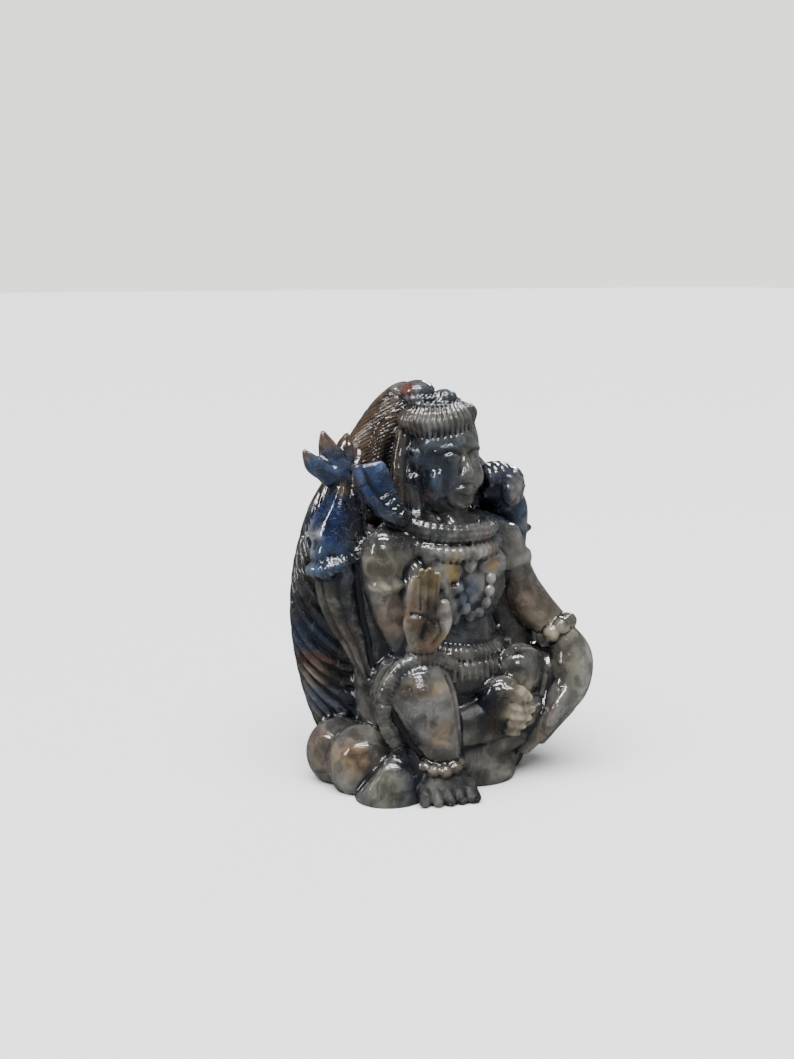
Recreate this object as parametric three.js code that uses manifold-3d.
// A small seated figure of Shiva, carved from one piece of polished stone. Millimetres, +Z up.
// The figure faces -Y. The origin is on the flat underside, below the middle of the body.
import * as THREE from 'three';
import { LoftGeometry } from 'three/addons/geometries/LoftGeometry.js';
import { mergeVertices } from 'three/addons/utils/BufferGeometryUtils.js';
import Module from 'manifold-3d';

const wasm = await Module();
wasm.setup();

// Driving sizes
const FIGURE_HEIGHT = 75; // underside to the top of the topknot
const PART_COUNT = 75; // the pose is laid out on a grid of this many parts to the full height

const UNDERSIDE_TRIM = 0; // height at which the underside is ground flat
const BEAD_RADIUS = 1.15; // garland beads
const BEAD_PITCH = 2.45; // centre to centre along the garland
const ANKLET_BEAD_RADIUS = 1.3;
const BRACELET_BEAD_RADIUS = 1.35;
const MANE_SIDES = 16;
const LOCK_PITCH = 7.6; // height between one lock of the mane and the next
const LOCK_DEPTH = 1.2; // crest to groove
const LOCK_FALL = 20; // drop of a lock from the middle of the back to its end
const LOCK_SWEEP = 2.3; // radians that a lock goes round the flank
const LOCK_FAN_COUNT = 5; // crests and grooves over which the locks fan out from the crown
const HEADBAND_FLUTES = 15;
const HEADBAND_HEIGHT = 5.6;
const FLUTE_DEPTH = 0.1; // share of the band's radius
const HEM_RADIUS = 1.1; // rolled fur edge of the tiger skin
const TOE_PITCH = 2.25;
const FINGER_PITCH = 1.6;

// Shares of the figure's own height, counted in parts; heights are from the underside up
const CHIN = 50.8;
const CROWN = 71.4; // the skull's top; the features of the face lie at shares of the way up to it
const MANE_TOP = 73.4; // crest of the mane, behind the topknot
const BELT_RADIUS = 1.5; // half the thickness of the twisted belt, which sinks into the waist at both its ends

const ROUND_ENDS = [55]; // degrees at which a rounded limb's last ring lies

const part = FIGURE_HEIGHT / PART_COUNT;

// The same sizes counted in parts, as every place in the layout is
const beadRadius = BEAD_RADIUS / part;
const beadPitch = BEAD_PITCH / part;
const ankletBead = ANKLET_BEAD_RADIUS / part;
const braceletBead = BRACELET_BEAD_RADIUS / part;
const lockPitch = LOCK_PITCH / part;
const lockDepth = LOCK_DEPTH / part;
const lockFall = LOCK_FALL / part;
const headbandHeight = HEADBAND_HEIGHT / part;
const hemRadius = HEM_RADIUS / part;
const toePitch = TOE_PITCH / part;
const fingerPitch = FINGER_PITCH / part;

// Helpers

// A closed three.js geometry as a solid that can be joined and cut.
function solid(geometry) {
  const plain = new THREE.BufferGeometry();
  plain.setAttribute('position', geometry.attributes.position);
  plain.setIndex(geometry.index);
  const merged = mergeVertices(plain, 1e-4);
  const index = merged.index.array;
  const faces = [];
  for (let i = 0; i < index.length; i += 3) {
    const [a, b, c] = index.subarray(i, i + 3);
    if (a !== b && b !== c && c !== a) faces.push(a, b, c);
  }
  return new wasm.Manifold(
    new wasm.Mesh({
      numProp: 3,
      vertProperties: merged.attributes.position.array,
      triVerts: new Uint32Array(faces),
    }),
  );
}

// Joins a list of solids into one.
function join(solids) {
  return solids.reduce((whole, next) => whole.add(next));
}

// A sphere drawn out to three half sizes, turned by degrees about X, Y and Z, at a centre.
function egg([x, y, z], [rx, ry, rz], turn = [0, 0, 0], around = 8, down = 6) {
  const geometry = new THREE.SphereGeometry(1, around, down);
  geometry.rotateX(Math.PI / 2);
  geometry.scale(rx * part, ry * part, rz * part);
  geometry.rotateX(THREE.MathUtils.degToRad(turn[0]));
  geometry.rotateY(THREE.MathUtils.degToRad(turn[1]));
  geometry.rotateZ(THREE.MathUtils.degToRad(turn[2]));
  geometry.translate(x * part, y * part, z * part);
  return solid(geometry);
}

// Values between rows of numbers, on a smooth curve through all of them.
function between(rows, t) {
  const place = t * (rows.length - 1);
  const i = Math.min(Math.floor(place), rows.length - 2);
  const f = place - i;
  const pick = (n) => rows[Math.max(0, Math.min(rows.length - 1, n))];
  const [p0, p1, p2, p3] = [pick(i - 1), pick(i), pick(i + 1), pick(i + 2)];
  return p1.map((_, k) => {
    const [a, b, c, d] = [p0[k], p1[k], p2[k], p3[k]];
    const curve = 2 * b + (c - a) * f + (2 * a - 5 * b + 4 * c - d) * f * f + (3 * b - a - 3 * c + d) * f ** 3;
    return curve / 2;
  });
}

// A limb or roll. Each row is x, y, z, half width and half thickness, and the half width lies along
// the direction named wide. Each angle in endRings adds a ring that rounds off both ends.
function limb(rows, { wide = [1, 0, 0], sides = 7, steps = rows.length - 1, endRings = [] } = {}) {
  const full = rows.map((row) => (row.length === 4 ? [...row, row[3]] : row));
  const place = (t) => between(full, t);
  const point = (row) => new THREE.Vector3(...row.slice(0, 3)).multiplyScalar(part);
  const small = 1e-3;
  const stations = [];
  for (const angle of [...endRings].reverse()) stations.push([0, -angle]);
  for (let i = 0; i <= steps; i++) stations.push([i / steps, 0]);
  for (const angle of endRings) stations.push([1, angle]);
  const sections = stations.map(([t, degrees]) => {
    const row = place(t);
    const ahead = point(place(Math.min(1, t + small)));
    const tangent = ahead.sub(point(place(Math.max(0, t - small)))).normalize();
    const angle = THREE.MathUtils.degToRad(degrees);
    const reach = Math.min(row[3], row[4]) * part * Math.sin(angle);
    const centre = point(row).addScaledVector(tangent, reach);
    const side = new THREE.Vector3(...wide).addScaledVector(tangent, -tangent.dot(new THREE.Vector3(...wide)));
    side.normalize();
    const front = new THREE.Vector3().crossVectors(tangent, side);
    const ring = [];
    for (let k = 0; k < sides; k++) {
      const turn = (k / sides) * 2 * Math.PI;
      const across = Math.cos(turn) * row[3] * Math.cos(angle) * part;
      const through = Math.sin(turn) * row[4] * Math.cos(angle) * part;
      ring.push(centre.clone().addScaledVector(side, across).addScaledVector(front, through));
    }
    return ring;
  });
  return solid(new LoftGeometry(sections, { capStart: true, capEnd: true }));
}

// A flat form with round ridges side by side on its front, such as fingers, toes or pleats.
// Rows are as in limb. Each number in ends is how far one ridge reaches past the last row.
function ridged(rows, ends, wide, groove = 0.55) {
  const points = rows.map((row) => new THREE.Vector3(...row.slice(0, 3)));
  return loft(rows.map(([, , , half, thick], n) => {
    const tangent = points[Math.min(n + 1, rows.length - 1)].clone().sub(points[Math.max(n - 1, 0)]).normalize();
    const side = new THREE.Vector3(...wide).addScaledVector(tangent, -tangent.dot(new THREE.Vector3(...wide))).normalize();
    const front = new THREE.Vector3().crossVectors(tangent, side);
    const at = (across, forward, reach) => points[n].clone().addScaledVector(side, across * half)
      .addScaledVector(front, forward * thick).addScaledVector(tangent, reach).toArray();
    const ring = [];
    for (let k = 0; k <= ends.length * 2; k++) {
      const edge = k === 0 || k === ends.length * 2;
      const near = [ends[Math.ceil(k / 2) - 1] ?? ends[0], ends[Math.floor(k / 2)] ?? ends.at(-1)];
      const reach = n < rows.length - 1 ? 0 : Math.min(...near) - (k % 2 ? 0 : half / ends.length);
      ring.push(at(1 - k / ends.length, k % 2 ? 1 : edge ? -0.1 : groove, reach));
    }
    const back = n < rows.length - 1 ? 0 : -half / ends.length;
    ring.push(at(-0.8, -1, back), at(0.8, -1, back));
    return ring;
  }));
}

// A closed form through rings of points, from the lowest ring to the highest
function loft(rings) {
  const sections = rings.map((ring) => ring.map((p) => new THREE.Vector3(...p).multiplyScalar(part)));
  return solid(new LoftGeometry(sections, { capStart: true, capEnd: true }));
}

// Beads of one radius set along a route at an even pitch.
function beads(route, radius, pitch) {
  const curve = new THREE.CatmullRomCurve3(route.map((p) => new THREE.Vector3(...p)));
  const count = Math.max(2, Math.round(curve.getLength() / pitch));
  return curve.getSpacedPoints(count).map((p) => egg([p.x, p.y, p.z], [radius, radius, radius], [0, 0, 0], 6, 3));
}

// Beads strung close round a limb: a ring whose edge bulges once for each bead
function beadedRing(centre, axis, radius, beadRadius, count) {
  const along = new THREE.Vector3(...axis).normalize();
  const levels = [[-0.95, -0.4, -0.4], [-0.45, 1, 0.15], [0.45, 1, 0.15], [0.95, -0.4, -0.4]];
  return loft(levels.map(([up, crest, gap]) => {
    const middle = centre.map((v, axisNumber) => v + along.getComponent(axisNumber) * up * beadRadius);
    const outer = ringAround(middle, axis, radius + crest * beadRadius, count * 2);
    const inner = ringAround(middle, axis, radius + gap * beadRadius, count * 2);
    return outer.map((p, k) => (k % 2 ? inner[k] : p));
  }));
}

// A ring of points about a centre, in the plane of two half axes.
function ringPoints(centre, alongA, alongB, count) {
  return Array.from({ length: count }, (_, k) => {
    const turn = (k / count) * 2 * Math.PI;
    return centre.map((c, i) => c + alongA[i] * Math.cos(turn) + alongB[i] * Math.sin(turn));
  });
}

// Points evenly round an axis
function ringAround(centre, axis, radius, count) {
  const along = new THREE.Vector3(...axis).normalize();
  const a = new THREE.Vector3(0, 0, 1).cross(along);
  if (a.length() < 0.5) a.set(1, 0, 0).cross(along);
  a.normalize().multiplyScalar(radius);
  const b = new THREE.Vector3().crossVectors(along, a);
  return ringPoints(centre, a.toArray(), b.toArray(), count);
}


// Mane and back slab: the hair falls from the crown to the ground behind the figure.
// Each row is x, y, z, half width and half depth.
const MANE = [
  [0, 8.5, -2, 19, 8.5],
  [0, 10, 6, 20, 8.5],
  [0, 11, 15, 23.2, 8],
  [0, 11, 25, 25.6, 8],
  [0, 11, 34, 26.2, 8],
  [-0.4, 11, 44, 24.6, 8],
  [-1.2, 11, 53, 20.8, 8],
  [-2, 10.5, 60, 14.6, 7.4],
  [-2.6, 9.2, 66, 9.4, 6.2],
  [-3, 6.6, 71, 5.2, 4.4],
  [-3, 5.4, 73, 2.4, 2.4],
];

// The mane's centre and half sizes at a height
function maneAt(z) {
  let low = 0;
  let high = 1;
  for (let i = 0; i < 24; i++) {
    const middle = (low + high) / 2;
    if (between(MANE, middle)[2] < z) low = middle;
    else high = middle;
  }
  return between(MANE, low);
}

// Rings of the mane alternate between the crest of a lock and the groove beside it. Each ring
// is highest at the middle of the back and drops round both flanks, so the locks sweep down and out.
function mane() {
  const rings = [];
  const count = Math.round((MANE_TOP + lockPitch) / (lockPitch / 2));
  for (let i = count; i >= 0; i--) {
    const top = MANE_TOP - (i * lockPitch) / 2;
    const fall = lockFall * Math.min(1, i / LOCK_FAN_COUNT);
    const relief = lockDepth * (i % 2 ? 0.5 : -0.5) * Math.min(1, i / 3);
    rings.push(ringPoints([0, 0, 0], [1, 0, 0], [0, 1, 0], MANE_SIDES).map(([c, d]) => {
      const fromBack = Math.acos(d);
      const z = top - fall * Math.min(1, fromBack / LOCK_SWEEP);
      const [x, y, , a, b] = maneAt(z);
      return [x + c * (a + relief), y + d * (b + relief), z];
    }));
  }
  const foot = rings[0].map(([x, y]) => [x, y, -PART_COUNT / 2]);
  return [loft([foot, ...rings])];
}

// Trunk, neck and shoulders
function trunk() {
  return [
    egg([0.5, -1.5, 14], [14, 9.6, 10], [0, 0, 0], 11, 6),
    egg([0.5, -3.2, 27], [9.2, 6.6, 9], [0, 0, 0], 12, 6),
    egg([0, -3, 37], [12, 7.6, 10], [0, 0, 0], 11, 7),
    limb([[-15, -3.4, 43, 4.6], [-7, -2, 46, 5.2], [7, -1.8, 45.4, 4.8], [13, -2, 42.6, 4.4]]),
    limb([[0, -1, 44, 5.6], [0.2, -1.6, 54, 4.6]]),
    limb([[-14, 1, 40, 5.4], [-13, 1, 28, 5.4], [-11, 1, 14, 6.4]], { sides: 5 }),
    limb([[13, 1.6, 42, 5.4], [15.8, 1, 28, 6.8], [14, 0, 16, 6.6]], { sides: 6 }),
  ];
}

// Middle of the head, and how far it turns to the figure's left
const HEAD_AXIS = [0.3, -0.6];
const HEAD_YAW = THREE.MathUtils.degToRad(10);
// Share of the head's height, how far forward the middle lies, half width and half depth
const FACE = [
  [0.0, 4.6, 1.6, 1.3],
  [0.06, 3.4, 3.6, 3.2],
  [0.2, 1.8, 5.4, 5.1],
  [0.4, 1, 6.2, 5.6],
  [0.62, 0.5, 6.4, 5.4],
  [0.8, -0.4, 6, 5],
];

// A point this far right of the head's axis and this far forward of it
function onHead(across, forward, z) {
  const [c, d] = [Math.cos(HEAD_YAW), Math.sin(HEAD_YAW)];
  return [HEAD_AXIS[0] + across * c + forward * d, HEAD_AXIS[1] + across * d - forward * c, z];
}

// A point on the face, across from its middle line and at a share of the head's height
function onFace(across, share, proud = 0) {
  const above = Math.max(1, FACE.findIndex((row) => row[0] >= share));
  const f = (share - FACE[above - 1][0]) / (FACE[above][0] - FACE[above - 1][0]);
  const [middle, half, deep] = [1, 2, 3].map((k) => THREE.MathUtils.lerp(FACE[above - 1][k], FACE[above][k], f));
  const bulge = deep * Math.sqrt(Math.max(1 - (across / half) ** 2, 0.05));
  return onHead(across, middle + bulge + proud, THREE.MathUtils.lerp(CHIN, CROWN, share));
}

function head() {
  const degrees = THREE.MathUtils.radToDeg(HEAD_YAW);
  const face = FACE.map(([share, forward, half, deep]) => {
    const [c, d] = [Math.cos(HEAD_YAW), Math.sin(HEAD_YAW)];
    const centre = onHead(0, forward, THREE.MathUtils.lerp(CHIN, CROWN, share));
    return ringPoints(centre, [half * c, half * d, 0], [-deep * d, deep * c, 0], 12);
  });
  const features = [];
  for (const side of [-1, 1]) {
    features.push(egg(onFace(side * 2.7, 0.5, -0.3), [1.5, 0.8, 0.7], [0, 0, degrees], 6, 4));
    features.push(limb([[...onHead(side * 6.6, -0.6, 62.4), 1.3, 1], [...onHead(side * 6.7, -0.4, 56), 1.2, 0.9]], { wide: [0, 1, 0], sides: 5 }));
  }
  const nose = [[...onFace(0, 0.53, -0.4), 0.6], [...onFace(0, 0.36, 0.5), 1.1, 0.9], [...onFace(0, 0.31, -0.2), 1, 0.7]];
  const lips = [-1.9, 0, 1.9].map((across, k) => [...onFace(across, 0.21, [-0.5, 0.1, -0.5][k]), [0.4, 0.85, 0.4][k], 0.6]);
  return [
    egg([0, 0.6, 62.8], [6.6, 6.4, 7.4], [0, 0, degrees], 9, 6),
    loft(face),
    limb(nose, { sides: 5 }),
    limb(lips, { wide: [0, 0, 1], sides: 5 }),
    ...features,
    limb([[-6.4, 2.6, 65, 1.8], [-8, 2, 58, 1.8], [-8.6, 0.6, 51, 1.6], [-9.4, -1.6, 46, 1.2]], { sides: 6 }),
    limb([[6.6, 3.2, 64, 1.7], [7.6, 2.4, 57, 1.6], [8.4, 1, 49, 1.5]], { sides: 6 }),
  ];
}

// Fluted headband, hair coil and two-lobed topknot
function headdress() {
  const levels = [[-1, 0.86], [-0.3, 1], [0.4, 0.97], [1, 0.76]];
  const band = levels.map(([up, size]) => {
    const centre = [-0.5, 0.6, 67.4 + (up * headbandHeight) / 2];
    const edge = ringPoints(centre, [7.6 * size, 0.5 * size, 0], [-0.5 * size, 7.2 * size, 0.9 * size], HEADBAND_FLUTES * 2);
    return edge.map((p, k) => p.map((v, axis) => v + (k % 2 ? FLUTE_DEPTH * (centre[axis] - v) : 0)));
  });
  return [
    loft(band),
    egg([-0.9, 1.2, 70.2], [5.2, 5.2, 2.2], [-4, -4, 0], 10, 6),
    egg([-3.6, 2.4, 71.8], [3.4, 3.4, 3.2], [0, 0, 0], 9, 6),
    egg([0.5, -1.2, 71.4], [2.7, 2.6, 2.3], [0, 0, 0], 8, 6),
  ];
}

// Cobra: hood raised over the right shoulder, body wrapped round the neck
function cobra() {
  return [
    limb([[-10.4, -5, 49.6, 1.9], [-13, -3.8, 51.6, 2.4, 1.6], [-15.2, -1.8, 56, 3.3, 1.5], [-15.9, -0.2, 59.4, 2.4, 1.2]], {
      wide: [0.84, -0.54, 0],
      endRings: ROUND_ENDS,
    }),
    limb([
      [-11.4, -3.4, 50, 1.9], [-8.4, -7, 48.4, 1.9], [-3.4, -9, 47.6, 1.8], [2.4, -9, 47.4, 1.8],
      [6.6, -6.6, 47.6, 1.8], [8, -2.5, 48, 1.7], [6.4, 1.5, 49, 1.6],
    ], { wide: [0, 0, 1], sides: 6, steps: 8 }),
    limb([
      [-9.8, -6.4, 45.2, 1.4], [-6, -9.4, 44.2, 1.4], [0, -10.4, 43.8, 1.4], [5, -8.8, 44, 1.4], [8.8, -5.6, 44.8, 1.4],
    ], { wide: [0, 0, 1], sides: 6, steps: 5 }),
    limb([[-10.4, -6.8, 46, 1.1, 0.9], [-6.8, -9.2, 41.3, 1.2, 0.9], [-4.4, -9.7, 36.2, 1.2, 0.9], [-3, -9.4, 31, 1.1, 0.9]], {
      wide: [1, 0, 0.6],
      sides: 6,
    }),
  ];
}

// The chest's front surface at a place across and up
function chestFront(x, z) {
  const rest = 1 - (x / 12) ** 2 - ((z - 37) / 10) ** 2;
  return -3 - 7.6 * Math.sqrt(Math.max(rest, 0.3));
}

// Bead garland to the belly, with a round medallion at the collar
function garland() {
  const route = [
    [-6, 45.6], [-5.1, 42.9], [-3.9, 39.9], [-3, 37], [-1.6, 33.8], [0.6, 31.6], [2.9, 33.2], [4.1, 36.4], [4.6, 39.6],
    [4.8, 42.4], [5.4, 44.6],
  ].map(([x, z]) => [x, chestFront(x, z) - 0.1, z]);
  return [
    ...beads(route, beadRadius, beadPitch),
    egg([-0.2, chestFront(0, 42) - 0.4, 41.8], [1.5, 0.9, 1.5], [0, 0, 0], 8, 5),
    egg([0.6, chestFront(0.6, 30.6) + 0.2, 29.8], [1.5, 1.1, 1.5], [0, 0, 0], 8, 5),
  ];
}

// Right arm, raised with the open palm to the front
function blessingArm() {
  const across = [0.9, -0.43, 0];
  return [
    limb([
      [-14.6, -3, 48, 1.6], [-15, -3.5, 46.6, 3.6], [-15.2, -3.8, 43.4, 4.4], [-15.4, -4.6, 37.5, 3.4],
      [-14, -5.2, 32.6, 3.3], [-11.8, -5.8, 27, 2.8],
    ], { sides: 8 }),
    limb([[-15.4, -4.5, 39.4, 3.9], [-15.4, -4.6, 37.6, 3.9]], { sides: 9 }),
    limb([[-11.8, -5.8, 27, 2.8], [-10.8, -8.6, 26, 2.8], [-10.6, -9.8, 28, 2.7, 2]], { steps: 3 }),
    limb([[-10.6, -9.6, 27.6, 2.6, 1.7], [-10.6, -10.8, 30, 4.2, 1.8], [-10.6, -11.7, 33, 4.7, 1.6], [-11.2, -12, 37, 3.9, 1.3]], {
      wide: across,
    }),
    limb([[-10.4, -6.8, 30, 3, 3.4], [-10.2, -7.4, 36, 3.2, 3.6], [-10, -6.4, 41.4, 2.2, 2.4]], { wide: across, sides: 5 }),
    ridged([
      [-11, -11.9, 34.6, fingerPitch * 2.1, 1.3], [-11.6, -12.1, 40, fingerPitch * 2, 1.1], [-11.7, -12.1, 42, fingerPitch * 1.8, 0.7],
    ], [0.4, 1.2, 1.4, 0.5], [-0.9, 0.43, 0]),
    limb([[-8.2, -12.6, 30.4, 1.9, 1.5], [-7, -13.4, 33, 1.5, 1.2], [-7, -13.6, 35.2, 1.1, 1]], { wide: across, sides: 6, endRings: ROUND_ENDS }),
  ];
}

// Right rear arm: flame-topped trident hand, flared sleeve, cuff and hanging scarf
function tridentArm() {
  const across = [0.84, -0.54, 0];
  return [
    limb([[-17.2, 5, 58, 2.2, 2], [-18.2, 4.4, 54, 3.3, 2.6], [-19.6, 4.2, 49.5, 4.8, 3.2], [-21, 4, 45.4, 5.2, 3.4], [-22.4, 4, 43.4, 3.4, 2.8]], {
      wide: across,
    }),
    ridged([[-16.6, 3.6, 55.6, 1.8, 2], [-17.2, 2.8, 50.6, 3, 2.8], [-18.2, 2.4, 45.6, 3.6, 3]], [0, 0, 0], across),
    limb([[-25.4, 4.6, 40.8, 1.5], [-23.4, 1.6, 41.2, 1.7], [-19.6, 0.8, 42.8, 1.5], [-15.2, 0.6, 47.4, 1.1]], { wide: [0, 0, 1], steps: 5 }),
    ridged([[-20.6, 3.4, 41, 4.9, 3.6], [-20, 2.4, 34, 4.3, 3.3], [-18.3, 0.6, 27.4, 2.9, 2.8], [-17.2, -1.6, 21, 1.5, 1.6]], [0, 0, 0], across, 0.6),
    egg([-19.4, 5.6, 58.6], [3.8, 2.4, 2.8], [0, -30, 0]),
    limb([[-20.4, 5.6, 58, 2.2, 1.7], [-23.8, 6, 60, 1.9, 1.5], [-25.8, 6.2, 62.6, 0.7]], { wide: across, sides: 6 }),
    limb([[-19.6, 5.6, 59.4, 2.3, 1.7], [-21, 6, 63, 1.9, 1.4], [-21.8, 6.2, 65.8, 0.7]], { wide: across, sides: 6 }),
    limb([[-17.6, 6, 59.6, 2.1, 1.7], [-16.8, 6.6, 62.8, 1.8, 1.4], [-16.2, 7, 65, 0.7]], { wide: across, sides: 6 }),
    limb([[-16.4, 5, 58.4, 1.5], [-14.8, 5.6, 60.6, 1.3], [-14.4, 6, 62.2, 0.7]], { sides: 6 }),
  ];
}

// Left rear arm: small hourglass drum in the raised hand
function drumArm() {
  return [
    limb([[17.6, 4, 36, 4.4], [19, 3.4, 43.5, 3.4], [17.8, 2, 49, 3.6], [16, 1.4, 52, 3]]),
    egg([14.9, 1, 53.2], [4.6, 4, 5], [0, 14, 0]),
    egg([15, -2.4, 52.4], [3.1, 1.7, 3.3], [0, 0, -34], 10, 6),
    limb([[10.8, -0.4, 53.6, 2.2, 2.8], [12.2, -1.2, 53.4, 1.8, 2.2]]),
    ridged([[14.6, 2, 56.6, 4, 2.4], [14.2, -2.2, 57.4, 3.9, 1.6], [14, -4, 55.6, 3.6, 1]], [0, 0, 0.2, 0.4], [0.97, -0.1, -0.25]),
    limb([[19, 2.6, 44.8, 2], [23.4, 1.9, 44.6, 0.5]], { sides: 6 }),
  ];
}

// Left arm resting on the knee, with the hand hanging over it
function restingArm() {
  return [
    limb([
      [11.8, -2, 46.8, 1.6], [12.4, -2.2, 45.4, 3.6], [13.2, -2.5, 42, 4.3], [15.4, -3.4, 37, 3.5],
      [17, -5.6, 31.8, 4], [20.4, -10.2, 26.8, 3.1],
    ], { sides: 8 }),
    limb([[14, -2.7, 40.6, 4.4], [14.8, -3, 38.6, 4.2]], { sides: 9 }),
    beadedRing([20.4, -10, 26.6], [-0.36, 0.54, 0.76], 3.2, braceletBead, 8),
    limb([
      [20.8, -11, 25.8, 3.1], [21.9, -12.6, 21.6, 4.4, 4], [20.8, -13.6, 16.8, 4.2, 3.6],
      [17.6, -14, 13.2, 3.2, 2.8], [14, -13.8, 9.2, 2.2, 2], [10.8, -13, 5.4, 1.3],
    ], { sides: 8, endRings: ROUND_ENDS }),
    limb([[18, -15.6, 15.6, 1.6], [15.8, -16, 13, 1.7], [14.2, -15.4, 10.8, 1.4]], { sides: 6, endRings: ROUND_ENDS }),
    limb([[20.6, -13.6, 12.4, 1.7], [17.4, -13, 9.2, 1.5], [15, -12.6, 6.4, 1.2]], { sides: 6, endRings: ROUND_ENDS }),
  ];
}

// Left leg folded across the front, foot turned up
function foldedLeg() {
  return [
    limb([[5, -2, 14.5, 8], [14, -5.5, 16, 7], [20.4, -7.9, 18, 6]], { sides: 9, endRings: ROUND_ENDS }),
    egg([10.8, -10.4, 20], [4.8, 4.4, 5.4], [0, 20, -12], 10, 6),
    limb([[18, -8.6, 12.6, 4.6], [8, -10.4, 12, 4.8], [-1.6, -10.4, 11, 4.4]], { wide: [0, 0, 1] }),
    egg([4.4, -12.6, 14.9], [3.9, 3.7, 5.4], [0, 6, -20], 10, 6),
    ridged([[4.6, -13.8, 14.8, 4.9, 2.6], [7, -15.4, 14.9, 4.7, 1.8], [8, -16, 15, 4.4, 1]], [0.4, 0.3, 0, -0.3, -0.8], [0, 0, 1]),
    limb([[8, -13.2, 25, hemRadius], [13.2, -12.8, 23.6, hemRadius], [15.6, -13.4, 19.4, hemRadius], [14, -13.6, 15, hemRadius]], {
      sides: 6,
    }),
  ];
}

// Right leg: knee raised, bare shin, foot planted in front
function plantedLeg() {
  const spread = [0.98, -0.19, 0];
  const hem = [
    [-5.4, -12, 24, hemRadius * 1.2], [-9.6, -11.2, 25.6, hemRadius * 1.4], [-15.4, -9.4, 24, hemRadius * 1.4],
    [-18.4, -8.6, 18.6, hemRadius * 1.4], [-17.6, -9, 12.6, hemRadius * 1.2], [-15.6, -9.8, 8.6, hemRadius],
  ];
  return [
    limb([[-6, -2.5, 17, 8.2], [-11.6, -6.6, 19, 7.2]], { sides: 8 }),
    limb([[-10.8, -9.4, 20.4, 5.9, 5.4], [-10.4, -10.6, 16.6, 6.3, 5.8], [-8.8, -11.9, 11, 4.8, 4.6], [-7.4, -12.9, 6.6, 2.9]], {
      sides: 10,
      endRings: ROUND_ENDS,
    }),
    limb(hem, { wide: [0, 0, 1], sides: 5 }),
    beadedRing([-7.8, -13, 6.4], [0.1, -0.1, 1], 2.9, ankletBead, 8),
    limb([[-7.6, -12.6, 4.6, 3.2, 3], [-8.6, -15, 3.2, 4.3, 2.6], [-9.8, -17, 1.6, 5, 1.4]], { wide: spread }),
    ridged([[-9.4, -15.8, 2, 4.7, 2], [-10.3, -18.2, 1.3, toePitch * 2.35, 1.6], [-10.5, -19, 0.9, toePitch * 2.25, 0.9]], [1.4, 0.6, 0.5, 0.2, -0.4], spread),
    limb([[-16.6, -8.6, 13, 1.6], [-15.6, -10.6, 7, 1.6], [-16.6, -12.6, 2, 1.8]], { sides: 5 }),
    limb([[-14, -9.6, 9, 1.4], [-13.2, -12, 5, 1.4], [-14.4, -14, 1.6, 1.4]], { sides: 5 }),
  ];
}

// Belt, the pleated tiger skin below it and the fold across the lap
function clothing() {
  return [
    limb([[-8.6, -6.4, 26.4, BELT_RADIUS], [-4, -9.4, 25.2, BELT_RADIUS], [2, -10, 24.6, BELT_RADIUS], [7.4, -8, 25, BELT_RADIUS], [10, -4, 26, BELT_RADIUS]], {
      wide: [0, 0, 1],
      steps: 6,
    }),
    egg([0.6, -7.4, 20], [6.8, 4.6, 5]),
    ridged([[0.4, -9.6, 24.4, 4.6, 2], [0.6, -11, 20.6, 5.6, 2], [0.6, -11.4, 15.4, 6, 1.8]], [0, 0, 0, 0, 0], [1, 0, 0]),
  ];
}

// Rocks that the figure sits on
function seat() {
  return [
    egg([-0.5, -4, 4], [15.4, 10.8, 8], [0, 0, 0], 12, 5),
    egg([3.4, -9.8, 1.5], [6.8, 5, 3.6], [0, 0, 0], 10, 5),
    limb([[-3, -12, 5.2, 1.8], [4, -12.4, 7, 2.3, 2], [9.8, -12.2, 8, 2]], { wide: [0, 0, 1], steps: 3 }),
    egg([-19.4, 5, 5.4], [6, 6, 6.6], [0, 0, 0], 10, 6),
    egg([-18.8, -1.6, 4.6], [5.2, 5.2, 6.2], [0, 0, 0], 10, 6),
    egg([-17.4, -8.8, 1.4], [6, 5.6, 4.4], [0, 0, 0], 10, 6),
    egg([10, -3, 4], [7, 7, 7], [0, 0, 0], 8, 4),
  ];
}

// A block below the underside, wide enough to grind every form flat
function groundBlock() {
  const block = new THREE.BoxGeometry(FIGURE_HEIGHT * 2, FIGURE_HEIGHT * 2, FIGURE_HEIGHT);
  block.translate(0, 0, UNDERSIDE_TRIM - FIGURE_HEIGHT / 2);
  return solid(block);
}

function shivaFigure() {
  const forms = [
    ...mane(),
    ...trunk(),
    ...head(),
    ...headdress(),
    ...cobra(),
    ...garland(),
    ...blessingArm(),
    ...tridentArm(),
    ...drumArm(),
    ...restingArm(),
    ...foldedLeg(),
    ...plantedLeg(),
    ...clothing(),
    ...seat(),
  ];
  const carved = join(forms).subtract(groundBlock());
  const mesh = carved.getMesh();
  const geometry = new THREE.BufferGeometry();
  geometry.setAttribute('position', new THREE.BufferAttribute(mesh.vertProperties, 3));
  geometry.setIndex(new THREE.BufferAttribute(mesh.triVerts, 1));
  const stone = new THREE.MeshStandardMaterial({ color: 0x55524f, roughness: 0.18, metalness: 0 });
  const figure = new THREE.Mesh(geometry, stone);
  figure.name = 'shiva_figure';
  return figure;
}

const group = new THREE.Group();
group.add(shivaFigure());
export default group;
